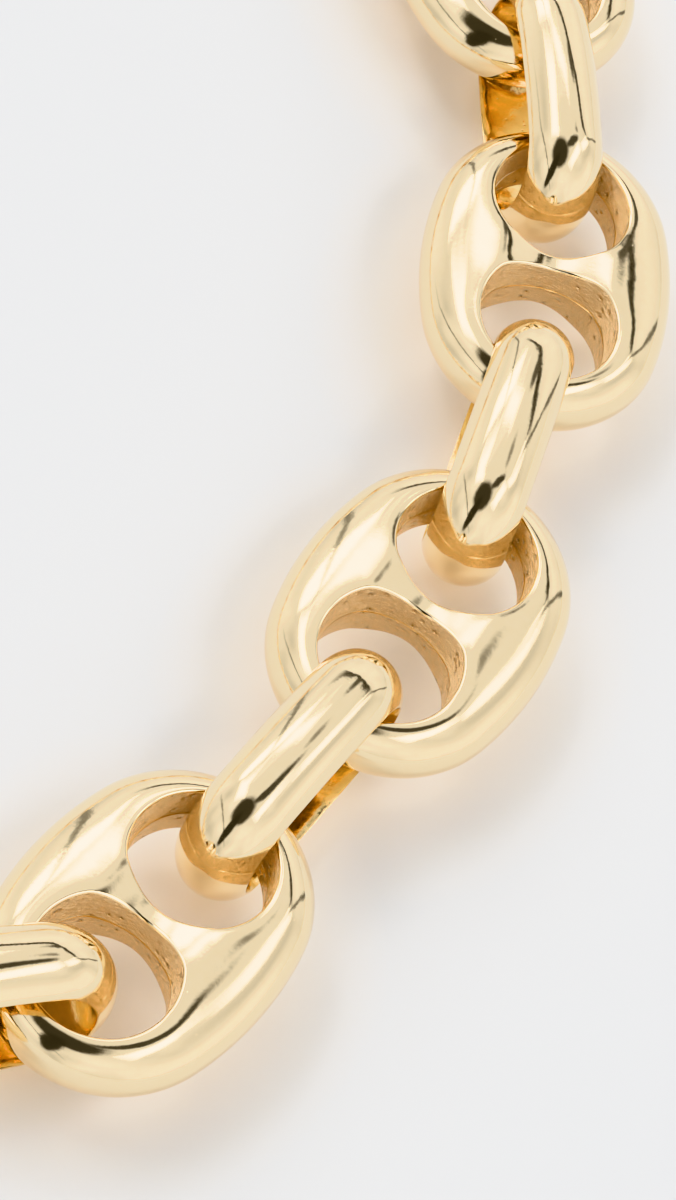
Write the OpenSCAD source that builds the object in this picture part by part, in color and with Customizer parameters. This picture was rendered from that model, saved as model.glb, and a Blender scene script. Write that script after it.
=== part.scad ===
/* [Chain] */
// Number of mariner links round the loop, with a connector or the clasp after each
mariner_count = 20; // [16:1:24]
// Free distance between the ends of neighbouring mariner links, as the chain lies
link_gap = 4.3; // [3.6:0.1:5]

/* [Mariner link] */
// Length of a mariner link along the chain
mariner_l = 17.2; // [16:0.1:18]
// Width of a mariner link across the chain
mariner_w = 12.8; // [11.8:0.1:14]
// Thickness of a mariner link, which is also the diameter of its round edge
mariner_h = 4.2; // [3.6:0.1:5]
// Radius of the long bowed sides of the mariner link
mariner_side_r = 16.6; // [13:0.1:40]
// Width of the rim between a hole and the end of the link
end_rim_w = 1.6; // [1.3:0.05:2]
// Radius of the end of a hole, where the connector swings
hole_end_r = 3.45; // [3:0.05:3.7]
// Radius of the flatter side of a hole, along the crossbar
hole_bar_r = 4.5; // [4:0.1:7]
// Width of the crossbar at its middle
bar_w = 0.9; // [0.7:0.05:1.6]
// How far the crossbar dips below the cheeks at its middle
bar_dip = 0.6; // [0.2:0.05:1.2]
// Radius of the dip across the crossbar
dip_r = 4; // [3:0.1:6]

/* [Connector link] */
// Width of a connector link, across its bars
connector_w = 4; // [3.4:0.1:4.6]
// Thickness of a connector link's bars, from the flat inside to the crown of the dome
connector_t = 1.45; // [1.2:0.05:1.7]
// Radius of the long sides of the connector link
connector_side_r = 30; // [20:1:80]

/* [Clasp] */
// Width of the seam at each end of the gate
seam_w = 0.25; // [0.15:0.05:0.4]
// Depth of the seam at each end of the gate
seam_d = 0.3; // [0.1:0.05:0.5]
// Length of the gate between its two seams
gate_l = 6; // [4:0.1:7]

/* [Fit] */
// Free height inside a connector, beyond the thickness of a mariner link
link_play = 1.4; // [1.2:0.1:3]
// Free length between the inside of a connector's end and the rim that it passes round
end_play = 1.51; // [1.41:0.05:2.51]
// How far a mariner link has settled below the middle of the connectors
settle = 0.05; // [0:0.01:0.1]

/* [Hidden] */
$fn = 72;
overlap = 0.8;
hub_r = 0.5;
clasp_angle = 90;
gold = [0.93, 0.80, 0.52];
pale_gold = [0.95, 0.84, 0.60];

// How the links that show best lie. The columns are the link's number, its slide along
// the chain and its shift towards the middle of the loop as shares of link_gap, and its
// turn, roll and pitch in degrees.
LINK = 0;
SLIDE = 1;
SHIFT = 2;
TURN = 3;
ROLL = 4;
PITCH = 5;
lie = [
    [12, 0.047, 0.302, 0, 0, 0],
    [13, 0.209, 0.884, 3, 0, 0],
    [14, -0.186, 0.023, 8.5, -1, -0.3],
    [15, -0.116, 0.116, -4, 1, -0.7],
    [16, -0.07, 0.163, 2.6, 1, 0.3],
    [17, -0.186, 0.628, 11.5, 0, 0],
    [18, -0.047, 0.279, 0, 0, 0],
];

// How far some connectors lean over to one side, in degrees, with the connector's number
LEAN = 1;
leaning = [[13, -6], [14, -1], [15, -2], [16, 6]];

// One value of a table's row for link i, nought for the links that lie evenly
function entry(table, i, column) =
    let (found = [for (row = table) if (row[LINK] == i) row[column]])
    len(found) > 0 ? found[0] : 0;
function lie_of(i, column) = entry(lie, i, column);

// End radius of an oval that meets long sides of the radius side_r smoothly
function oval_end_r(half_l, half_w, side_r) =
    (half_l * half_l + half_w * half_w - 2 * side_r * half_w) / (2 * (half_l - side_r));

// Mariner link
edge_r = mariner_h / 2;
hole_end_x = mariner_l / 2 - end_rim_w - hole_end_r;
hole_bar_x = bar_w / 2 + hole_bar_r;
dip_l = 2 * (bar_w + bar_dip);

// Upright ring: its inside clears the rim where the rim is widest under its edges
link_pitch = mariner_l + link_gap;
pivot_gap = link_pitch - 2 * hole_end_x;
rim_corner_x = pivot_gap / 2 - sqrt(pow(hole_end_r, 2) - pow(connector_w / 2, 2));
ring_l = 2 * (rim_corner_x + end_play + connector_t);
ring_h = mariner_h + link_play + 2 * connector_t;

// Loop: the centres of the mariner links lie about one circle
link_turn = 360 / mariner_count;
loop_r = link_pitch / 2 / sin(link_turn / 2);
ring_z = ring_h / 2;
mariner_z = ring_z - settle;

function station(i) =
    clasp_angle + (i - 0.5) * link_turn + lie_of(i, SLIDE) * link_gap / loop_r * 180 / PI;
function mariner_yaw(i) = station(i) + 90 + lie_of(i, TURN);
function mariner_reach(i) = loop_r - lie_of(i, SHIFT) * link_gap;
function mariner_xy(i) = mariner_reach(i) * [cos(station(i)), sin(station(i))];

// Centre of a hole's round end. side is 1 for the hole ahead and -1 for the hole behind.
function pivot(i, side) =
    mariner_xy(i) + side * hole_end_x * [cos(mariner_yaw(i)), sin(mariner_yaw(i))];
function after(i) = i % mariner_count + 1;
function span(i) = pivot(after(i), -1) - pivot(i, 1);
function ring_xy(i) = pivot(i, 1) + span(i) / 2;
function ring_yaw(i) = atan2(span(i)[1], span(i)[0]);

function numbered(name, i) = str(name, i < 10 ? "_0" : "_", i);
mariner_names = [for (i = [1:mariner_count]) numbered("mariner_link", i)];
connector_names = [for (i = [1:mariner_count - 1]) numbered("connector_link", i)];

// Sweeps a section round a smooth oval of four arcs. A quarter is made about the joint of
// an end arc and a side arc, which both start from the same section there, and is turned
// over to make the others. The child is the section, which finds the arc's radius in
// $arc_r and stays within the given height to each side.
module oval_sweep(half_l, half_w, side_r, height) {
    end_r = oval_end_r(half_l, half_w, side_r);
    end_x = half_l - end_r;
    joint_turn = atan2(side_r - half_w, end_x);
    joint = [end_x + end_r * cos(joint_turn), end_r * sin(joint_turn)];
    room = [half_l + side_r, half_l + side_r, 2 * (height + overlap)];
    for (flip = [[0, 0, 0], [180, 0, 0], [0, 180, 0], [0, 0, 180]])
        rotate(flip)
            intersection() {
                translate([0, 0, -height - overlap]) cube(room);
                translate(joint) rotate(joint_turn) {
                    arc(side_r, room, 0) children();
                    arc(end_r, room, -room[1]) children();
                }
            }
}

// Part of a ring that passes through the origin, on one side of the section there
module arc(arc_r, room, side_y) {
    intersection() {
        translate([-arc_r, 0]) rotate_extrude() let($arc_r = arc_r) children();
        translate([-room[0], side_y, -room[2] / 2]) cube([2 * room[0], room[1], room[2]]);
    }
}

// Section of the mariner link from its round edge to just past the link's middle, or to
// just short of an end arc's centre, which falls in a hole
module edge_section() {
    depth = min($arc_r - hub_r, mariner_w / 2 + overlap);
    translate([$arc_r, 0]) {
        translate([-edge_r, 0]) circle(edge_r);
        translate([-depth, -edge_r]) square([depth - edge_r, mariner_h]);
    }
}

// Oval plate with a fully round edge
module mariner_blank() {
    oval_sweep(mariner_l / 2, mariner_w / 2, mariner_side_r, edge_r) edge_section();
}

// Hole with a round end and a flatter side along the crossbar
module hole() {
    linear_extrude(mariner_h + 2 * overlap, center = true)
        intersection() {
            translate([hole_end_x, 0]) circle(hole_end_r);
            translate([hole_bar_x, 0]) circle(hole_bar_r);
        }
}

module mariner_link() {
    difference() {
        mariner_blank();
        for (half = [0, 180]) {
            rotate(half) hole();
            rotate([half, 0, 0])
                translate([0, 0, edge_r - bar_dip + dip_r])
                    rotate([0, 90, 0]) cylinder(r = dip_r, h = dip_l, center = true);
        }
    }
}

// D section of a bar: flat inside, with one arc as its domed outside
module bar_section() {
    dome_r = (pow(connector_w / 2, 2) + pow(connector_t, 2)) / (2 * connector_t);
    translate([$arc_r, 0])
        intersection() {
            translate([-dome_r, 0]) circle(dome_r);
            translate([-connector_t, -connector_w]) square([connector_t + overlap, 2 * connector_w]);
        }
}

// Upright oval ring of D section, standing with its middle at the origin
module connector_link() {
    rotate([90, 0, 0])
        oval_sweep(ring_l / 2, ring_h / 2, connector_side_r, connector_w / 2) bar_section();
}

// Ring like the connectors, with the two seams of its closed gate across the upper bar
module clasp_ring() {
    difference() {
        connector_link();
        for (side = [-1, 1])
            translate([side * gate_l / 2, 0, ring_h / 2 - seam_d + overlap])
                cube([seam_w, connector_w + overlap, 2 * overlap], center = true);
    }
}

module mariner_at(i) {
    color(gold)
        translate(concat(mariner_xy(i), mariner_z))
            rotate([0, 0, mariner_yaw(i)])
                rotate([lie_of(i, ROLL), lie_of(i, PITCH), 0]) mariner_link();
}

module ring_at(i) {
    color(pale_gold)
        translate(concat(ring_xy(i), ring_z))
            rotate([entry(leaning, i, LEAN), 0, ring_yaw(i)]) children();
}

for (i = [1:mariner_count])
    mariner_at(i);
for (i = [1:mariner_count - 1])
    ring_at(i) connector_link();
ring_at(mariner_count) clasp_ring();  // clasp
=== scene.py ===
"""Mariner link chain: the look of every link, the pale floor with its painted glow, the studio
light and the camera.
"""

import logging
import math
from collections.abc import Callable
from dataclasses import dataclass, field
from enum import Enum

import bmesh
import bpy
from mathutils import Matrix, Vector

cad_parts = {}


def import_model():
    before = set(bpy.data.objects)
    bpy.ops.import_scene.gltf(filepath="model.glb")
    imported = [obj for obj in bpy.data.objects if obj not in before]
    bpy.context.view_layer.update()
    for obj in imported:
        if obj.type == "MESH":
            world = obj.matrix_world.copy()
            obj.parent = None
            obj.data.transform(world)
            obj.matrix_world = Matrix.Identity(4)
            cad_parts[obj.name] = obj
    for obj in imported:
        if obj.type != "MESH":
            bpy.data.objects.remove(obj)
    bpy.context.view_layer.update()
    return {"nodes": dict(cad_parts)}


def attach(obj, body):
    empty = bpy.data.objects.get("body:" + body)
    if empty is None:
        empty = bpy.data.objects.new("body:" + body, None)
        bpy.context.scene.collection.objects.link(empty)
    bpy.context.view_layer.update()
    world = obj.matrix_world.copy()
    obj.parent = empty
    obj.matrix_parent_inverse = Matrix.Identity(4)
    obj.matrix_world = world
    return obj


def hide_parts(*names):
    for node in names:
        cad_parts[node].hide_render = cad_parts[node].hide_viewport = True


log = logging.getLogger("chain")

MM = 0.001
MARINER_COUNT = 20
# How far the outlines here stay inside the solids' outlines, in mm
SKIN = 0.01
# Angles between faces from which an edge is shaded sharp, and from which it is softened
SMOOTH_DEGREES = 35
BEVEL_DEGREES = 40
# How far large faces lead the shading, where 50 is even
FACE_LEAD = 60
# Distances in metres within which doubled and mirrored vertices become one
DOUBLES = 0.0005 * MM
MIRROR_SEAM = 0.002 * MM
# Least length that is divided by, in mm
LEAST_REACH = 1e-6


class Slot(Enum):
    """The record's material slots."""

    POLISHED = "polished_gold"
    PALE = "pale_gold"


class Zone(Enum):
    """Where a face of a link lies, which decides its finish."""

    OUTSIDE = 0
    INSIDE = 1


# Shapes shared by the links


@dataclass(frozen=True)
class Oval:
    """A smooth oval of four arcs: two round ends and two long bowed sides, in mm."""

    half_l: float
    half_w: float
    side_r: float

    @property
    def end_r(self) -> float:
        """Radius of the round ends, which meet the bowed sides smoothly."""
        gap = self.half_l - self.side_r
        return (self.half_l**2 + self.half_w**2 - 2 * self.side_r * self.half_w) / (2 * gap)

    @property
    def end_x(self) -> float:
        """Distance from the middle to the centre of a round end."""
        return self.half_l - self.end_r

    @property
    def side_y(self) -> float:
        """Distance from the middle to the centre of a bowed side, on the far side."""
        return self.side_r - self.half_w

    @property
    def side_turn(self) -> float:
        """Half of the angle that a bowed side takes, in radians."""
        return math.atan2(self.end_x, self.side_y)

    def edge(self, share: float) -> tuple[Vector, Vector]:
        """Finds a point on the quarter of the outline from the end to the side's middle.

        Args:
            share: 0 at the end of the oval and 1 at the middle of its side.

        Returns:
            The point and the outward normal there.
        """
        side_length = self.side_r * self.side_turn
        end_length = self.end_r * (math.pi / 2 - self.side_turn)
        along = share * (side_length + end_length)
        if along <= end_length:
            angle = along / self.end_r
            normal = Vector((math.cos(angle), math.sin(angle)))
            return Vector((self.end_x, 0)) + self.end_r * normal, normal
        angle = math.pi / 2 - self.side_turn + (along - end_length) / self.side_r
        normal = Vector((math.cos(angle), math.sin(angle)))
        return Vector((0, -self.side_y)) + self.side_r * normal, normal

    def depth(self, x: float, y: float) -> tuple[float, float]:
        """Measures how far a point lies inside the outline.

        Args:
            x: Place along the oval.
            y: Place across the oval.

        Returns:
            The depth, and the distance along the oval of the nearest point of the outline.
        """
        x, y = abs(x), abs(y)
        if x > self.end_x + y * self.end_x / self.side_y:
            reach = math.hypot(x - self.end_x, y)
            share = (x - self.end_x) / max(reach, LEAST_REACH)
            return self.end_r - reach, self.end_x + self.end_r * share
        reach = math.hypot(x, y + self.side_y)
        return self.side_r - reach, self.side_r * x / reach


class Modelling:
    """Small steps of modelling by hand that the links share."""

    @staticmethod
    def clear_selection() -> None:
        """Deselects every object."""
        bpy.ops.object.select_all(action="DESELECT")

    @staticmethod
    def pick(piece: bpy.types.Object) -> None:
        """Makes a piece the only selected one, and the active one.

        Args:
            piece: The piece to pick.
        """
        Modelling.clear_selection()
        piece.select_set(True)
        bpy.context.view_layer.objects.active = piece

    @staticmethod
    def loop(name: str, count: int, radius: float) -> bpy.types.Object:
        """Adds a closed loop of edges and numbers its vertices, ready in edit mode.

        Args:
            name: Name of the new piece.
            count: Number of vertices in the loop.
            radius: Radius of the loop in mm.

        Returns:
            The new piece, in edit mode with its loop selected.
        """
        Modelling.clear_selection()
        bpy.ops.mesh.primitive_circle_add(vertices=count, radius=radius * MM)
        piece = bpy.context.object
        piece.name = piece.data.name = name
        bpy.ops.object.mode_set(mode="EDIT")
        bpy.ops.mesh.select_mode(type="VERT")
        bpy.ops.mesh.select_all(action="SELECT")
        mesh = bmesh.from_edit_mesh(piece.data)
        number = mesh.verts.layers.int.new("number")
        mesh.verts.ensure_lookup_table()
        for index, vertex in enumerate(mesh.verts):
            vertex[number] = index
        bmesh.update_edit_mesh(piece.data)
        return piece

    @staticmethod
    def place(piece: bpy.types.Object, spot: Callable[[int], Vector]) -> None:
        """Moves each selected vertex to its spot.

        Args:
            piece: The piece in edit mode.
            spot: Gives the place in mm of the vertex with a number.
        """
        mesh = bmesh.from_edit_mesh(piece.data)
        number = mesh.verts.layers.int["number"]
        for vertex in mesh.verts:
            if vertex.select:
                vertex.co = spot(vertex[number]) * MM
        bmesh.update_edit_mesh(piece.data)

    @staticmethod
    def keep_selected(piece: bpy.types.Object, wanted: Callable[[int], bool]) -> None:
        """Keeps only the selected vertices whose numbers are wanted.

        Args:
            piece: The piece in edit mode.
            wanted: Says whether the vertex with a number stays selected.
        """
        mesh = bmesh.from_edit_mesh(piece.data)
        number = mesh.verts.layers.int["number"]
        for vertex in mesh.verts:
            if vertex.select and not wanted(vertex[number]):
                vertex.select = False
        mesh.select_flush_mode()
        bmesh.update_edit_mesh(piece.data)

    @staticmethod
    def raise_ring(piece: bpy.types.Object, spot: Callable[[int], Vector]) -> None:
        """Extrudes the selected edges into a new ring and sets it in place."""
        bpy.ops.mesh.extrude_edges_move()
        Modelling.place(piece, spot)

    @staticmethod
    def close(piece: bpy.types.Object) -> None:
        """Merges doubled vertices, turns all faces outwards and leaves edit mode.

        Args:
            piece: The piece in edit mode.
        """
        bpy.ops.mesh.select_all(action="SELECT")
        bpy.ops.mesh.remove_doubles(threshold=DOUBLES)
        bpy.ops.mesh.normals_make_consistent(inside=False)
        bpy.ops.object.mode_set(mode="OBJECT")

    @staticmethod
    def apply(piece: bpy.types.Object) -> None:
        """Applies every modifier of a piece, from the top down.

        Args:
            piece: The piece in object mode.
        """
        Modelling.pick(piece)
        for modifier in list(piece.modifiers):
            bpy.ops.object.modifier_apply(modifier=modifier.name)

    @staticmethod
    def smooth(piece: bpy.types.Object) -> None:
        """Shades a piece smooth between sharp edges, led by its large faces.

        Args:
            piece: The piece in object mode.
        """
        Modelling.pick(piece)
        bpy.ops.object.shade_smooth_by_angle(angle=math.radians(SMOOTH_DEGREES))
        lead = piece.modifiers.new("large faces lead", "WEIGHTED_NORMAL")
        lead.keep_sharp = True
        lead.weight = FACE_LEAD
        Modelling.apply(piece)


# Finishes


@dataclass(frozen=True)
class Gold:
    """A light gold plate over brass, with sizes and depths in mm."""

    name: str
    shade: tuple[float, float, float] = (1.0, 0.83, 0.555)
    deep_shade: tuple[float, float, float] = (0.985, 0.795, 0.50)
    roughness: float = 0.05
    roughness_spread: float = 0.06
    waver_size: float = 5.0
    waver_depth: float = 0.03
    grain_size: float = 0.5
    grain_depth: float = 0.003
    streak: float = 1.0
    pit_size: float = 0.9
    pit_share: float = 0.035
    pit_depth: float = 0.01

    def material(self) -> bpy.types.Material:
        """Builds the finish as a material.

        Returns:
            The new material.
        """
        material = bpy.data.materials.new(self.name)
        material.use_nodes = True
        nodes, links = material.node_tree.nodes, material.node_tree.links
        shader = nodes["Principled BSDF"]
        shader.inputs["Metallic"].default_value = 1.0
        place = nodes.new("ShaderNodeTexCoord")
        skin = nodes.new("ShaderNodeGroup")
        skin.node_tree = MetalSkin.group()
        for name, value in (
            ("Waver scale", 1 / (self.waver_size * MM)),
            ("Waver depth", self.waver_depth * MM),
            ("Grain scale", 1 / (self.grain_size * MM)),
            ("Grain depth", self.grain_depth * MM),
            ("Streak", self.streak),
            ("Pit scale", 1 / (self.pit_size * MM)),
            ("Pit share", self.pit_share),
            ("Pit depth", self.pit_depth * MM),
        ):
            skin.inputs[name].default_value = value
        links.new(place.outputs["Object"], skin.inputs["Place"])
        tint = nodes.new("ShaderNodeMix")
        tint.data_type = "RGBA"
        tint.inputs["A"].default_value = (*self.shade, 1)
        tint.inputs["B"].default_value = (*self.deep_shade, 1)
        links.new(skin.outputs["Wear"], tint.inputs["Factor"])
        links.new(tint.outputs["Result"], shader.inputs["Base Color"])
        gloss = nodes.new("ShaderNodeMapRange")
        gloss.inputs["To Min"].default_value = self.roughness
        gloss.inputs["To Max"].default_value = self.roughness + self.roughness_spread
        links.new(skin.outputs["Wear"], gloss.inputs["Value"])
        links.new(gloss.outputs["Result"], shader.inputs["Roughness"])
        links.new(skin.outputs["Normal"], shader.inputs["Normal"])
        return material


class MetalSkin:
    """The waver, streaky grain and casting pits that each gold finish has in its own measure."""

    NAME = "metal skin"
    WAVER_DETAIL = 1
    GRAIN_DETAIL = 4
    GRAIN_ROUGHNESS = 0.6
    INPUTS = (
        "Waver scale",
        "Waver depth",
        "Grain scale",
        "Grain depth",
        "Streak",
        "Pit scale",
        "Pit share",
        "Pit depth",
    )

    @classmethod
    def group(cls) -> bpy.types.NodeTree:
        """Finds or builds the node group.

        Returns:
            The group, which gives a wear mask and a bumped normal.
        """
        if cls.NAME in bpy.data.node_groups:
            return bpy.data.node_groups[cls.NAME]
        tree = bpy.data.node_groups.new(cls.NAME, "ShaderNodeTree")
        tree.interface.new_socket("Place", in_out="INPUT", socket_type="NodeSocketVector")
        for name in cls.INPUTS:
            tree.interface.new_socket(name, in_out="INPUT", socket_type="NodeSocketFloat")
        tree.interface.new_socket("Wear", in_out="OUTPUT", socket_type="NodeSocketFloat")
        tree.interface.new_socket("Normal", in_out="OUTPUT", socket_type="NodeSocketVector")
        nodes, links = tree.nodes, tree.links
        inside = nodes.new("NodeGroupInput")
        outside = nodes.new("NodeGroupOutput")

        waver = nodes.new("ShaderNodeTexNoise")
        waver.inputs["Detail"].default_value = cls.WAVER_DETAIL
        links.new(inside.outputs["Place"], waver.inputs["Vector"])
        links.new(inside.outputs["Waver scale"], waver.inputs["Scale"])

        stretch = nodes.new("ShaderNodeCombineXYZ")
        stretch.inputs["X"].default_value = 1
        stretch.inputs["Y"].default_value = 1
        links.new(inside.outputs["Streak"], stretch.inputs["Z"])
        drawn = nodes.new("ShaderNodeVectorMath")
        drawn.operation = "MULTIPLY"
        links.new(inside.outputs["Place"], drawn.inputs[0])
        links.new(stretch.outputs["Vector"], drawn.inputs[1])
        grain = nodes.new("ShaderNodeTexNoise")
        grain.inputs["Detail"].default_value = cls.GRAIN_DETAIL
        grain.inputs["Roughness"].default_value = cls.GRAIN_ROUGHNESS
        links.new(drawn.outputs["Vector"], grain.inputs["Vector"])
        links.new(inside.outputs["Grain scale"], grain.inputs["Scale"])

        cells = nodes.new("ShaderNodeTexVoronoi")
        links.new(inside.outputs["Place"], cells.inputs["Vector"])
        links.new(inside.outputs["Pit scale"], cells.inputs["Scale"])
        pits = nodes.new("ShaderNodeMapRange")
        pits.interpolation_type = "SMOOTHSTEP"
        pits.inputs["To Min"].default_value = 1
        pits.inputs["To Max"].default_value = 0
        links.new(cells.outputs["Distance"], pits.inputs["Value"])
        links.new(inside.outputs["Pit share"], pits.inputs["From Max"])

        normal = None
        for source, depth, inverted in (
            (waver.outputs["Fac"], "Waver depth", False),
            (grain.outputs["Fac"], "Grain depth", False),
            (pits.outputs["Result"], "Pit depth", True),
        ):
            bump = nodes.new("ShaderNodeBump")
            bump.invert = inverted
            links.new(source, bump.inputs["Height"])
            links.new(inside.outputs[depth], bump.inputs["Distance"])
            if normal:
                links.new(normal, bump.inputs["Normal"])
            normal = bump.outputs["Normal"]
        links.new(normal, outside.inputs["Normal"])

        wear = nodes.new("ShaderNodeMath")
        wear.operation = "MAXIMUM"
        links.new(grain.outputs["Fac"], wear.inputs[0])
        links.new(pits.outputs["Result"], wear.inputs[1])
        links.new(wear.outputs["Value"], outside.inputs["Wear"])
        return tree


POLISHED = Gold("polished gold")
CAST = Gold(
    "cast gold",
    shade=(1.0, 0.82, 0.55),
    deep_shade=(0.84, 0.54, 0.24),
    roughness=0.1,
    roughness_spread=0.24,
    grain_size=0.35,
    grain_depth=0.22,
    streak=4.0,
    pit_size=0.55,
    pit_share=0.32,
    pit_depth=0.3,
)
BRUSHED = Gold(
    "brushed gold",
    shade=(1.0, 0.80, 0.43),
    deep_shade=(0.76, 0.47, 0.17),
    roughness=0.04,
    roughness_spread=0.2,
    waver_size=2.2,
    waver_depth=0.16,
    grain_size=0.9,
    grain_depth=0.03,
    streak=0.5,
    pit_size=0.6,
    pit_share=0.12,
    pit_depth=0.03,
)


# Links


@dataclass
class MarinerLink:
    """A flat puffed link with two holes and a crossbar that dips between its cheeks, in mm."""

    length: float = 17.2
    width: float = 12.8
    height: float = 4.2
    side_r: float = 16.6
    end_rim: float = 1.6
    hole_end_r: float = 3.45
    hole_bar_r: float = 4.5
    bar_w: float = 0.9
    bar_dip: float = 0.6
    dip_reach: float = 2.9
    puff_end: float = 2.4
    puff_side: float = 3.6
    fall: float = 0.17
    fall_w: float = 1.1
    fall_start: float = 4.5
    edge_r: float = 0.16
    draft: float = 0.1
    ridge: float = 0.05
    ridge_h: float = 0.07
    blend: float = 0.04
    seam_end: float = 1.1
    seam_side: float = 0.9
    seam_ease: float = 1.2
    wall_slope: float = 0.35
    rim_share: float = 0.6
    turns: int = 120
    wall_shares: tuple[float, ...] = (0.2, 0.4, 0.6, 0.8, 1)
    edge_steps: int = 4
    top_steps: int = 6
    rim_steps: int = 12
    outline: Oval = field(init=False)

    def __post_init__(self) -> None:
        """Works out the outline."""
        self.outline = Oval(self.length / 2 - SKIN, self.width / 2 - SKIN, self.side_r)

    @property
    def hole_x(self) -> float:
        """Distance from the middle of the link to the centre of a hole's round end."""
        return self.length / 2 - self.end_rim - self.hole_end_r

    @property
    def shoulder(self) -> int:
        """Number of steps from the end of the link to where a hole passes the crossbar's root."""
        return self.turns // 3

    def turn_of(self, number: int) -> int:
        """Counts a vertex's steps round the hole, from minus half a turn to half a turn."""
        return number if number <= self.turns // 2 else number - self.turns

    def hole(self, number: int, out: float) -> Vector:
        """Finds a point near the edge of the hole.

        Args:
            number: Number of the point round the hole.
            out: Distance out into the metal.

        Returns:
            The point in the plane of the link.
        """
        angle = 2 * math.pi * self.turn_of(number) / self.turns
        offset = self.bar_w / 2 + self.hole_bar_r - self.hole_x
        lean = offset * math.cos(angle)
        flat = lean + math.sqrt(lean**2 + self.hole_bar_r**2 - offset**2)
        gap = flat - self.hole_end_r
        reach = (flat + self.hole_end_r - math.sqrt(gap**2 + self.blend**2)) / 2 + out
        return Vector((self.hole_x + reach * math.cos(angle), reach * math.sin(angle)))

    def puff(self, along: float) -> float:
        """Distance from the outline, at a place along the link, over which the top rises."""
        share = along / self.outline.half_l
        return self.puff_side + (self.puff_end - self.puff_side) * share**2

    def top(self, x: float, y: float) -> float:
        """Finds the height of the polished top above the middle of the link.

        Args:
            x: Place along the link.
            y: Place across the link.

        Returns:
            The height in mm.
        """
        depth, along = self.outline.depth(x, y)
        rise = max(0.0, 1 - depth / self.puff(along))
        z = self.height / 2 * math.sqrt(max(0.0, 1 - rise**2)) - self.dip(x, y)
        if abs(x) < self.hole_x and abs(y) < self.dip_reach:
            z -= self.bar_dip * (1 - (y / self.dip_reach) ** 2) ** 2
        return z

    def dip(self, x: float, y: float) -> float:
        """Finds how far the top falls away near the holes.

        Args:
            x: Place along the link.
            y: Place across the link.

        Returns:
            The fall in mm, which fades out towards the middle of the crossbar.
        """
        drop = 0.0
        for side in (-1, 1):
            end = math.hypot(x - side * self.hole_x, y) - self.hole_end_r
            bar = math.hypot(x - side * (self.bar_w / 2 + self.hole_bar_r), y) - self.hole_bar_r
            reach = (end + bar + math.sqrt((end - bar) ** 2 + self.blend**2)) / 2
            drop += self.fall * max(0.0, 1 - max(0.0, reach) / self.fall_w) ** 2
        share = min(1.0, abs(x) / self.fall_start)
        return drop * share**2 * (3 - 2 * share)

    def rim_depth(self, turn: int) -> float:
        """Depth inside the outline of the seam between the round edge and the top."""
        share = turn / self.shoulder
        return self.seam_end + self.seam_side * share**2

    def seam(self, number: int) -> Vector:
        """Finds a point of the seam: along the rim, then along the crossbar's middle.

        Args:
            number: Number of the point round the hole.

        Returns:
            The point in the plane of the link.
        """
        turn = self.turn_of(number)
        if abs(turn) <= self.shoulder:
            point, normal = self.outline.edge(abs(turn) / self.shoulder)
            point = point - normal * self.rim_depth(turn)
        else:
            root = self.hole(self.shoulder, self.edge_r).y
            share = abs(self.hole(number, self.edge_r).y) / root
            last = self.outline.half_w - self.rim_depth(self.shoulder)
            point = Vector((0, last * share**self.seam_ease))
        return Vector((point.x, math.copysign(point.y, turn)))

    def wall_ring(self, number: int, share: float) -> Vector:
        """Finds a point of the hole's wall.

        Args:
            number: Number of the point round the hole.
            share: 0 at the parting line and 1 at the edge.

        Returns:
            The point in mm.
        """
        edge = self.hole(number, self.edge_r)
        z = (self.top(edge.x, edge.y) - self.edge_r) * share
        out = -self.draft * (1 - share)
        if z < self.ridge_h:
            out -= self.ridge * (1 - z / self.ridge_h)
        spot = self.hole(number, out)
        return Vector((spot.x, spot.y, z))

    def edge_ring(self, number: int, share: float) -> Vector:
        """Finds a point of the hole's softened edge.

        Args:
            number: Number of the point round the hole.
            share: 0 at the wall and 1 at the top.

        Returns:
            The point in mm.
        """
        angle = share * math.pi / 2
        edge = self.hole(number, self.edge_r)
        spot = self.hole(number, self.edge_r * (1 - math.cos(angle)))
        z = self.top(edge.x, edge.y) - self.edge_r * (1 - math.sin(angle))
        return Vector((spot.x, spot.y, z))

    def top_ring(self, number: int, share: float) -> Vector:
        """Point of the top, from the hole's edge at 0 to the seam at 1."""
        spot = self.hole(number, self.edge_r).lerp(self.seam(number), share)
        return Vector((spot.x, spot.y, self.top(spot.x, spot.y)))

    def rim_ring(self, number: int, share: float) -> Vector:
        """Finds a point of the round edge.

        Args:
            number: Number of the point round the hole.
            share: 0 at the seam and 1 at the widest line.

        Returns:
            The point in mm.
        """
        turn = self.turn_of(number)
        point, normal = self.outline.edge(abs(turn) / self.shoulder)
        puff = self.puff(point.x)
        start = math.acos(1 - self.rim_depth(turn) / puff)
        angle = start * (1 - share)
        spot = point - normal * puff * (1 - math.cos(angle))
        z = self.height / 2 * math.sin(angle) - self.dip(spot.x, spot.y)
        return Vector((spot.x, math.copysign(spot.y, turn), max(0.0, z)))

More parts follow.
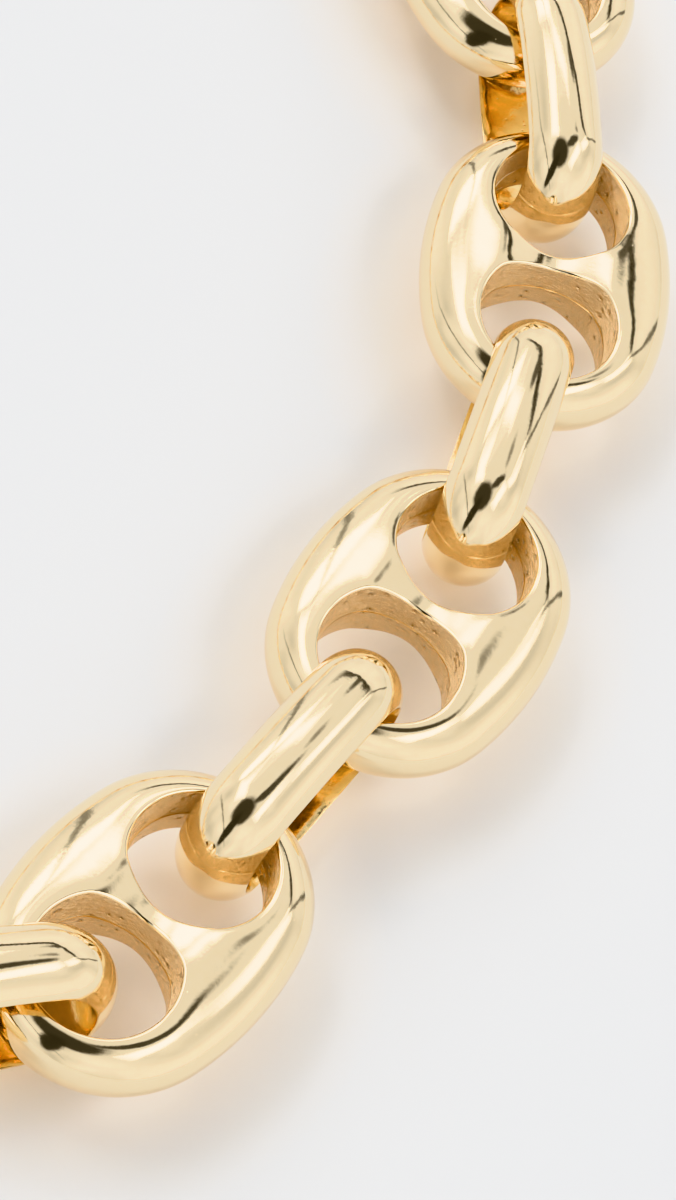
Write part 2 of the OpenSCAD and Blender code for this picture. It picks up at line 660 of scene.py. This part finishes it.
    def build(self) -> bpy.types.Object:
        """Models one link lying flat with its middle at the origin.

        Returns:
            The finished link, with its hole walls in the second material.
        """
        link = Modelling.loop("mariner link pattern", self.turns, self.hole_end_r)
        Modelling.place(link, lambda n: self.wall_ring(n, 0))
        foot = self.ridge_h / self.height * 2
        for share in (foot, *self.wall_shares):
            Modelling.raise_ring(link, lambda n, s=share: self.wall_ring(n, s))
        for step in range(self.edge_steps):
            share = (step + 1) / self.edge_steps
            Modelling.raise_ring(link, lambda n, s=share: self.edge_ring(n, s))
        for step in range(self.top_steps):
            share = (step + 1) / self.top_steps
            Modelling.raise_ring(link, lambda n, s=share: self.top_ring(n, s))
        Modelling.keep_selected(link, lambda n: abs(self.turn_of(n)) <= self.shoulder)
        for step in range(self.rim_steps):
            share = (step + 1) / self.rim_steps
            Modelling.raise_ring(link, lambda n, s=share: self.rim_ring(n, s))
        bpy.ops.object.mode_set(mode="OBJECT")
        twin = link.modifiers.new("other three quarters", "MIRROR")
        twin.use_axis = (True, False, True)
        twin.merge_threshold = MIRROR_SEAM
        Modelling.apply(link)
        bpy.ops.object.mode_set(mode="EDIT")
        Modelling.close(link)
        Modelling.smooth(link)
        return link

    def dress(self, link: bpy.types.Object) -> None:
        """Gives the link its polished outside and its cast hole walls.

        Args:
            link: The modelled link, with its middle at the origin.
        """
        link.data.materials.clear()
        link.data.materials.append(POLISHED.material())
        link.data.materials.append(CAST.material())
        for face in link.data.polygons:
            steep = abs(face.normal.z) < self.wall_slope
            depth, _ = self.outline.depth(face.center.x / MM, face.center.y / MM)
            inner = steep and depth > self.end_rim * self.rim_share
            face.material_index = (Zone.INSIDE if inner else Zone.OUTSIDE).value


@dataclass
class ConnectorLink:
    """An upright oval ring, domed outside and flat inside, in mm."""

    length: float = 14.698
    height: float = 8.5
    width: float = 4.0
    thickness: float = 1.45
    side_r: float = 30.0
    edge_r: float = 0.1
    edge_segments: int = 2
    dome_steps: int = 26
    flat_steps: int = 8
    side_steps: int = 8
    end_steps: int = 44
    outline: Oval = field(init=False)

    def __post_init__(self) -> None:
        """Works out the outline."""
        self.outline = Oval(self.length / 2 - SKIN, self.height / 2 - SKIN, self.side_r)

    @property
    def dome_r(self) -> float:
        """Radius of the dome across the bar."""
        return ((self.width / 2) ** 2 + self.thickness**2) / (2 * self.thickness)

    def section(self, number: int) -> Vector:
        """Finds a point of the bar's section at the middle of the upper bar.

        Args:
            number: Number of the point round the section.

        Returns:
            The point in mm.
        """
        crown = self.outline.half_w
        if number <= self.dome_steps:
            half = math.asin(self.width / 2 / self.dome_r)
            angle = half * (2 * number / self.dome_steps - 1)
            rise = self.dome_r * (math.cos(angle) - 1)
            return Vector((0, self.dome_r * math.sin(angle), crown + rise))
        share = (number - self.dome_steps) / self.flat_steps
        return Vector((0, self.width * (0.5 - share), crown - self.thickness))

    def build(self) -> bpy.types.Object:
        """Models one ring standing upright with its middle at the origin.

        Returns:
            The finished ring, with its flat inside in the second material.
        """
        count = self.dome_steps + self.flat_steps
        ring = Modelling.loop("connector pattern", count, self.width / 2)
        Modelling.place(ring, self.section)
        half_side = self.outline.side_turn
        end = math.pi - 2 * half_side
        low, far = self.outline.side_y * MM, self.outline.end_x * MM
        for centre, angle, steps in (
            ((0, 0, -low), half_side, self.side_steps),
            ((far, 0, 0), end, self.end_steps),
            ((0, 0, low), 2 * half_side, 2 * self.side_steps),
            ((-far, 0, 0), end, self.end_steps),
            ((0, 0, -low), half_side, self.side_steps),
        ):
            bpy.ops.mesh.spin(steps=steps, angle=angle, center=centre, axis=(0, -1, 0))
        Modelling.close(ring)
        soft = ring.modifiers.new("softened edges", "BEVEL")
        soft.width = self.edge_r * MM
        soft.segments = self.edge_segments
        soft.limit_method = "ANGLE"
        soft.angle_limit = math.radians(BEVEL_DEGREES)
        Modelling.apply(ring)
        Modelling.smooth(ring)
        return ring

    def dress(self, ring: bpy.types.Object) -> None:
        """Gives the ring its polished dome and its brushed inside.

        Args:
            ring: The modelled ring, with its middle at the origin.
        """
        ring.data.materials.clear()
        ring.data.materials.append(POLISHED.material())
        ring.data.materials.append(BRUSHED.material())
        for face in ring.data.polygons:
            x, z = face.center.x, face.center.z
            inward = face.normal.x * x + face.normal.z * z < 0
            face.material_index = (Zone.INSIDE if inward else Zone.OUTSIDE).value


@dataclass
class ClaspRing:
    """A ring like the connectors whose upper bar is a gate between two fine seams, in mm."""

    pattern: ConnectorLink = field(default_factory=ConnectorLink)
    gate_length: float = 6.0
    seam_width: float = 0.25
    seam_depth: float = 0.3
    saw_reach: float = 1.2

    def build(self) -> bpy.types.Object:
        """Models the closed clasp upright with its middle at the origin.

        Returns:
            The finished clasp.
        """
        ring = self.pattern.build()
        ring.name = ring.data.name = "clasp pattern"
        depth = 2 * self.seam_depth * MM
        for side in (-1, 1):
            Modelling.clear_selection()
            spot = (side * self.gate_length / 2 * MM, 0, self.pattern.height / 2 * MM)
            bpy.ops.mesh.primitive_cube_add(size=1, location=spot)
            saw = bpy.context.object
            saw.scale = (self.seam_width * MM, self.pattern.width * self.saw_reach * MM, depth)
            cut = ring.modifiers.new("seam", "BOOLEAN")
            cut.operation = "DIFFERENCE"
            cut.object = saw
            Modelling.apply(ring)
            Modelling.pick(saw)
            bpy.ops.object.delete()
        Modelling.smooth(ring)
        return ring


@dataclass(frozen=True)
class Lie:
    """How one mariner link lies: slide and shift as shares of the link gap, turns in degrees."""

    slide: float = 0.0
    shift: float = 0.0
    turn: float = 0.0
    roll: float = 0.0
    pitch: float = 0.0


@dataclass
class Chain:
    """The loop of links, each laid where its CAD solid lies, in mm and degrees."""

    link_gap: float = 4.3
    clasp_angle: float = 90.0
    settle: float = 0.05
    mariner: MarinerLink = field(default_factory=MarinerLink)
    connector: ConnectorLink = field(default_factory=ConnectorLink)
    clasp: ClaspRing = field(default_factory=ClaspRing)
    lies: dict[int, Lie] = field(
        default_factory=lambda: {
            12: Lie(0.047, 0.302),
            13: Lie(0.209, 0.884, 3),
            14: Lie(-0.186, 0.023, 8.5, -1, -0.3),
            15: Lie(-0.116, 0.116, -4, 1, -0.7),
            16: Lie(-0.07, 0.163, 2.6, 1, 0.3),
            17: Lie(-0.186, 0.628, 11.5),
            18: Lie(-0.047, 0.279),
        }
    )
    leans: dict[int, float] = field(default_factory=lambda: {13: -6, 14: -1, 15: -2, 16: 6})

    @property
    def loop_r(self) -> float:
        """Radius of the circle on which the mariner links lie."""
        pitch = self.mariner.length + self.link_gap
        return pitch / 2 / math.sin(math.pi / MARINER_COUNT)

    def lie(self, index: int) -> Lie:
        """Looks up how a mariner link lies."""
        return self.lies.get(index, Lie())

    def mariner_spot(self, index: int) -> tuple[Vector, float]:
        """Finds the middle and the heading of a mariner link.

        Args:
            index: Number of the link, from 1.

        Returns:
            The middle in the plane of the floor, and the heading in radians.
        """
        lie = self.lie(index)
        step = math.radians(self.clasp_angle + (index - 0.5) * 360 / MARINER_COUNT)
        angle = step + lie.slide * self.link_gap / self.loop_r
        reach = self.loop_r - lie.shift * self.link_gap
        heading = angle + math.pi / 2 + math.radians(lie.turn)
        return Vector((reach * math.cos(angle), reach * math.sin(angle))), heading

    def pivot(self, index: int, side: int) -> Vector:
        """Finds the centre of the round end of a hole.

        Args:
            index: Number of the link, from 1.
            side: 1 for the hole ahead and -1 for the hole behind.

        Returns:
            The centre in the plane of the floor, in mm.
        """
        middle, heading = self.mariner_spot(index)
        ahead = Vector((math.cos(heading), math.sin(heading)))
        return middle + side * self.mariner.hole_x * ahead

    def mariner_place(self, index: int) -> Matrix:
        """Finds the place of a mariner link.

        Args:
            index: Number of the link, from 1.

        Returns:
            The place in metres.
        """
        middle, heading = self.mariner_spot(index)
        lie = self.lie(index)
        z = self.connector.height / 2 - self.settle
        turn = Matrix.Rotation(heading, 4, "Z")
        pitch = Matrix.Rotation(math.radians(lie.pitch), 4, "Y")
        roll = Matrix.Rotation(math.radians(lie.roll), 4, "X")
        return Matrix.Translation(Vector((*middle, z)) * MM) @ turn @ pitch @ roll

    def ring_place(self, index: int) -> Matrix:
        """Finds the place of a connector or of the clasp.

        Args:
            index: Number of the ring, from 1.

        Returns:
            The place in metres.
        """
        start, end = self.pivot(index, 1), self.pivot(index % MARINER_COUNT + 1, -1)
        middle, along = (start + end) / 2, end - start
        turn = Matrix.Rotation(math.atan2(along.y, along.x), 4, "Z")
        lean = Matrix.Rotation(math.radians(self.leans.get(index, 0)), 4, "X")
        z = self.connector.height / 2
        return Matrix.Translation(Vector((*middle, z)) * MM) @ turn @ lean

    def lay(self, pattern: bpy.types.Object, node: str, place: Matrix) -> None:
        """Lays a copy of a pattern where a CAD node lies, in its stead.

        Args:
            pattern: The modelled link.
            node: Name of the CAD node.
            place: Place of the link.
        """
        piece = pattern.copy()
        piece.data = pattern.data.copy()
        piece.name = piece.data.name = f"{node}_look"
        bpy.context.collection.objects.link(piece)
        piece.data.transform(place)
        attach(piece, "root")
        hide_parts(node)
        log.info("%s: %d faces", piece.name, len(piece.data.polygons))

    def build(self) -> None:
        """Models each kind of link once and lays its copies round the loop."""
        flat, upright, gate = self.mariner.build(), self.connector.build(), self.clasp.build()
        self.mariner.dress(flat)
        self.connector.dress(upright)
        self.connector.dress(gate)
        for index in range(1, MARINER_COUNT + 1):
            node = f"mariner_link_{index:02d}"
            self.lay(flat, node, self.mariner_place(index))
        for index in range(1, MARINER_COUNT):
            node = f"connector_link_{index:02d}"
            self.lay(upright, node, self.ring_place(index))
        self.lay(gate, "clasp", self.ring_place(MARINER_COUNT))
        for pattern in (flat, upright, gate):
            bpy.data.objects.remove(pattern)


# Studio


class Outline(Enum):
    """Outline of a patch of the light tent."""

    SQUARE = 0
    ROUND = 1


@dataclass(frozen=True)
class Patch:
    """A brighter or darker patch of the light tent, laid out on a flat plan of the sky.

    The plan has the zenith in its middle and the horizon at a distance of 1.
    """

    outline: Outline
    spot: tuple[float, float]
    half_size: tuple[float, float]
    turn: float
    softness: float
    tone: float


@dataclass(frozen=True)
class Tent:
    """A white light tent over the chain, with panels, gaps and the opening for the camera."""

    tone: float = 1.08
    cloud: float = 0.4
    cloud_size: float = 1.6
    cloud_detail: int = 1
    noise_low: float = 0.3
    noise_high: float = 0.7
    wobble: float = 0.05
    wobble_size: float = 5.0
    wobble_detail: int = 2
    backdrop: tuple[float, float, float] = (0.86, 0.855, 0.85)
    patches: tuple[Patch, ...] = (
        Patch(Outline.ROUND, (0.02, 0.16), (0.42, 0.30), 0, 0.5, 0.92),
        Patch(Outline.SQUARE, (-0.35, 0.39), (0.13, 0.05), 12, 0.25, 9.0),
        Patch(Outline.SQUARE, (-0.11, 0.325), (0.09, 0.032), -8, 0.6, 7.0),
        Patch(Outline.SQUARE, (0.42, 0.22), (0.05, 0.10), -20, 0.4, 6.0),
        Patch(Outline.SQUARE, (-0.30, 0.13), (0.07, 0.13), 10, 0.45, 8.0),
        Patch(Outline.SQUARE, (0.28, -0.08), (0.05, 0.15), -12, 0.45, 8.0),
        Patch(Outline.SQUARE, (0.09, 0.455), (0.38, 0.024), -20, 0.3, 0.05),
        Patch(Outline.ROUND, (0.09, 0.415), (0.05, 0.04), -20, 0.35, 0.12),
        Patch(Outline.ROUND, (0.165, 0.245), (0.038, 0.026), -20, 0.6, 0.3),
        Patch(Outline.SQUARE, (-0.50, 0.62), (0.014, 0.36), 36, 0.4, 0.22),
        Patch(Outline.SQUARE, (0.60, 0.50), (0.016, 0.30), -40, 0.4, 0.15),
        Patch(Outline.SQUARE, (-0.42, -0.30), (0.014, 0.50), 35, 0.4, 0.25),
        Patch(Outline.ROUND, (-0.08, -0.20), (0.20, 0.20), -12, 0.2, 0.07),
        Patch(Outline.ROUND, (0.13, 0.05), (0.06, 0.15), -38, 0.25, 0.09),
        Patch(Outline.ROUND, (-0.20, -0.50), (0.09, 0.30), -22, 0.2, 0.05),
    )

    def world(self) -> bpy.types.World:
        """Builds the tent as a world.

        Returns:
            The new world.
        """
        world = bpy.data.worlds.new("light tent")
        world.use_nodes = True
        nodes, links = world.node_tree.nodes, world.node_tree.links
        back = nodes["Background"]
        direction = nodes.new("ShaderNodeTexCoord").outputs["Generated"]
        parts = nodes.new("ShaderNodeSeparateXYZ")
        links.new(direction, parts.inputs["Vector"])
        above = nodes.new("ShaderNodeMath")
        above.operation = "ADD"
        above.inputs[1].default_value = 1
        links.new(parts.outputs["Z"], above.inputs[0])
        plan = nodes.new("ShaderNodeVectorMath")
        plan.operation = "DIVIDE"
        links.new(direction, plan.inputs[0])
        links.new(above.outputs["Value"], plan.inputs[1])
        waves = nodes.new("ShaderNodeTexNoise")
        waves.inputs["Scale"].default_value = self.wobble_size
        waves.inputs["Detail"].default_value = self.wobble_detail
        links.new(direction, waves.inputs["Vector"])
        shift = nodes.new("ShaderNodeVectorMath")
        shift.operation = "MULTIPLY_ADD"
        shift.inputs[1].default_value = (self.wobble,) * 3
        links.new(waves.outputs["Color"], shift.inputs[0])
        links.new(plan.outputs["Vector"], shift.inputs[2])
        clouds = nodes.new("ShaderNodeTexNoise")
        clouds.inputs["Scale"].default_value = self.cloud_size
        clouds.inputs["Detail"].default_value = self.cloud_detail
        links.new(direction, clouds.inputs["Vector"])
        tone = nodes.new("ShaderNodeMapRange")
        tone.inputs["From Min"].default_value = self.noise_low
        tone.inputs["From Max"].default_value = self.noise_high
        tone.inputs["To Min"].default_value = self.tone - self.cloud
        tone.inputs["To Max"].default_value = self.tone + self.cloud / 2
        links.new(clouds.outputs["Fac"], tone.inputs["Value"])
        light = tone.outputs["Result"]
        for patch in self.patches:
            light = self.lay_patch(world.node_tree, patch, shift.outputs["Vector"], light)
        rays = nodes.new("ShaderNodeLightPath")
        seen = nodes.new("ShaderNodeMix")
        seen.data_type = "RGBA"
        seen.inputs["B"].default_value = (*self.backdrop, 1)
        links.new(rays.outputs["Is Camera Ray"], seen.inputs["Factor"])
        links.new(light, seen.inputs["A"])
        links.new(seen.outputs["Result"], back.inputs["Color"])
        return world

    def lay_patch(
        self,
        tree: bpy.types.NodeTree,
        patch: Patch,
        plan: bpy.types.NodeSocket,
        light: bpy.types.NodeSocket,
    ) -> bpy.types.NodeSocket:
        """Lays one patch over the light below it.

        Args:
            tree: The world's nodes.
            patch: The patch.
            plan: The direction's place on the plan of the sky.
            light: The light without the patch.

        Returns:
            The light with the patch.
        """
        nodes, links = tree.nodes, tree.links
        fit = nodes.new("ShaderNodeMapping")
        fit.vector_type = "TEXTURE"
        middle = self.wobble / 2
        fit.inputs["Location"].default_value = (
            patch.spot[0] + middle,
            patch.spot[1] + middle,
            0,
        )
        fit.inputs["Rotation"].default_value = (0, 0, math.radians(patch.turn))
        fit.inputs["Scale"].default_value = (*patch.half_size, 1)
        links.new(plan, fit.inputs["Vector"])
        flat = nodes.new("ShaderNodeVectorMath")
        flat.operation = "MULTIPLY"
        flat.inputs[1].default_value = (1, 1, 0)
        links.new(fit.outputs["Vector"], flat.inputs[0])
        if patch.outline is Outline.ROUND:
            reach = nodes.new("ShaderNodeVectorMath")
            reach.operation = "LENGTH"
            links.new(flat.outputs["Vector"], reach.inputs[0])
        else:
            sides = nodes.new("ShaderNodeVectorMath")
            sides.operation = "ABSOLUTE"
            links.new(flat.outputs["Vector"], sides.inputs[0])
            split = nodes.new("ShaderNodeSeparateXYZ")
            links.new(sides.outputs["Vector"], split.inputs["Vector"])
            reach = nodes.new("ShaderNodeMath")
            reach.operation = "MAXIMUM"
            links.new(split.outputs["X"], reach.inputs[0])
            links.new(split.outputs["Y"], reach.inputs[1])
        mask = nodes.new("ShaderNodeMapRange")
        mask.interpolation_type = "SMOOTHSTEP"
        mask.inputs["From Min"].default_value = 1 + patch.softness
        mask.inputs["From Max"].default_value = 1 - patch.softness
        links.new(reach.outputs["Value"], mask.inputs["Value"])
        mix = nodes.new("ShaderNodeMix")
        mix.inputs["B"].default_value = patch.tone
        links.new(mask.outputs["Result"], mix.inputs["Factor"])
        links.new(light, mix.inputs["A"])
        return mix.outputs["Result"]


@dataclass
class Studio:
    """The pale floor with its painted glow near the links, the soft light and the camera.

    Lengths are in metres, apart from the camera's spot and sensor, which are in mm.
    """

    floor_size: float = 3.0
    floor_roughness: float = 0.7
    floor_gloss: float = 0.2
    floor_shade: tuple[float, float, float] = (0.695, 0.70, 0.71)
    # Painted glow: near the links the floor's colour turns from its own shade to this warm one, a
    # painted stand-in for light bounced off the gold
    painted_glow_shade: tuple[float, float, float] = (0.95, 0.85, 0.74)
    # Painted light: near the links the floor gives off this warm light, though it is no lamp
    painted_glow_light: tuple[float, float, float] = (1.0, 0.76, 0.52)
    painted_glow_strength: float = 0.24
    # Reach and samples of the occlusion mask that puts both painted glows near the links
    painted_glow_reach: float = 0.006
    painted_glow_samples: int = 2
    box_size: tuple[float, float] = (0.5, 0.35)
    box_watts: float = 0.12
    box_spot: tuple[float, float, float] = (-0.25, 0.55, 0.8)
    box_aim: tuple[float, float, float] = (0.06, -0.02, 0)
    focal_px: float = 4608.0
    frame_height_px: int = 1200
    camera_spot: tuple[float, float, float] = (55.3, -129.3, 184.8)
    camera_heading: float = 3.94
    camera_down: float = 56.89
    camera_roll: float = 25.87
    camera_sensor: float = 36.0
    camera_nearest: float = 0.01
    tent: Tent = field(default_factory=Tent)

    def add_floor(self) -> None:
        """Lays the pale floor under the chain, painted warm and glowing near the links as painted
        light bounced off the gold.
        """
        Modelling.clear_selection()
        bpy.ops.mesh.primitive_plane_add(size=self.floor_size)
        floor = bpy.context.object
        floor.name = "floor"
        material = bpy.data.materials.new("pale paper with painted glow")
        material.use_nodes = True
        nodes, links = material.node_tree.nodes, material.node_tree.links
        shader = nodes["Principled BSDF"]
        # Painted glow: within a short reach of the links the floor is painted warm, as painted
        # bounced light from the gold
        near = nodes.new("ShaderNodeAmbientOcclusion")
        near.samples = self.painted_glow_samples
        near.inputs["Distance"].default_value = self.painted_glow_reach
        tint = nodes.new("ShaderNodeMix")
        tint.data_type = "RGBA"
        tint.inputs["A"].default_value = (*self.painted_glow_shade, 1)
        tint.inputs["B"].default_value = (*self.floor_shade, 1)
        links.new(near.outputs["AO"], tint.inputs["Factor"])
        links.new(tint.outputs["Result"], shader.inputs["Base Color"])
        # Painted light: the floor emits warm light near the links, standing in for light bounced
        # off the gold
        painted_glow_emission = nodes.new("ShaderNodeMix")
        painted_glow_emission.data_type = "RGBA"
        painted_glow_emission.inputs["A"].default_value = (*self.painted_glow_light, 1)
        painted_glow_emission.inputs["B"].default_value = (0, 0, 0, 1)
        links.new(near.outputs["AO"], painted_glow_emission.inputs["Factor"])
        links.new(painted_glow_emission.outputs["Result"], shader.inputs["Emission Color"])
        shader.inputs["Emission Strength"].default_value = self.painted_glow_strength
        shader.inputs["Roughness"].default_value = self.floor_roughness
        shader.inputs["Specular IOR Level"].default_value = self.floor_gloss
        floor.data.materials.append(material)
        log.info("floor laid")

    def add_lights(self) -> None:
        """Puts up the light tent and one soft box over it."""
        scene = bpy.context.scene
        scene.world = self.tent.world()
        scene.view_settings.view_transform = "Khronos PBR Neutral"
        data = bpy.data.lights.new("key box", "AREA")
        data.shape = "RECTANGLE"
        data.size, data.size_y = self.box_size
        data.energy = self.box_watts
        light = bpy.data.objects.new("key box", data)
        light.location = self.box_spot
        aim = Vector(self.box_aim) - light.location
        light.rotation_euler = aim.to_track_quat("-Z", "Y").to_euler()
        bpy.context.collection.objects.link(light)
        log.info("light tent put up")

    def add_camera(self) -> None:
        """Sets up the camera at the photograph's viewing angle."""
        heading, down, roll = (
            math.radians(a) for a in (self.camera_heading, self.camera_down, self.camera_roll)
        )
        ahead = Vector(
            (
                math.sin(heading) * math.cos(down),
                math.cos(heading) * math.cos(down),
                -math.sin(down),
            )
        )
        right = Vector((math.cos(heading), -math.sin(heading), 0))
        up = right.cross(ahead)
        side = right * math.cos(roll) + up * math.sin(roll)
        top = up * math.cos(roll) - right * math.sin(roll)
        turn = Matrix((side, top, -ahead)).transposed().to_4x4()
        data = bpy.data.cameras.new("camera")
        data.sensor_fit = "AUTO"
        data.sensor_width = self.camera_sensor
        data.lens = self.focal_px / self.frame_height_px * self.camera_sensor
        data.clip_start = self.camera_nearest
        camera = bpy.data.objects.new("camera", data)
        camera.matrix_world = Matrix.Translation(Vector(self.camera_spot) * MM) @ turn
        bpy.context.collection.objects.link(camera)
        bpy.context.scene.camera = camera
        log.info("camera set")


def main() -> None:
    """Builds the chain and the studio round it."""
    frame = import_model()
    log.info("frame loaded: %d nodes", len(frame["nodes"]))
    Chain().build()
    studio = Studio()
    studio.add_floor()
    studio.add_lights()
    studio.add_camera()
    log.info("sizes noted")


if __name__ == "__main__":
    logging.basicConfig(level=logging.INFO, format="%(name)s: %(message)s")
    main()
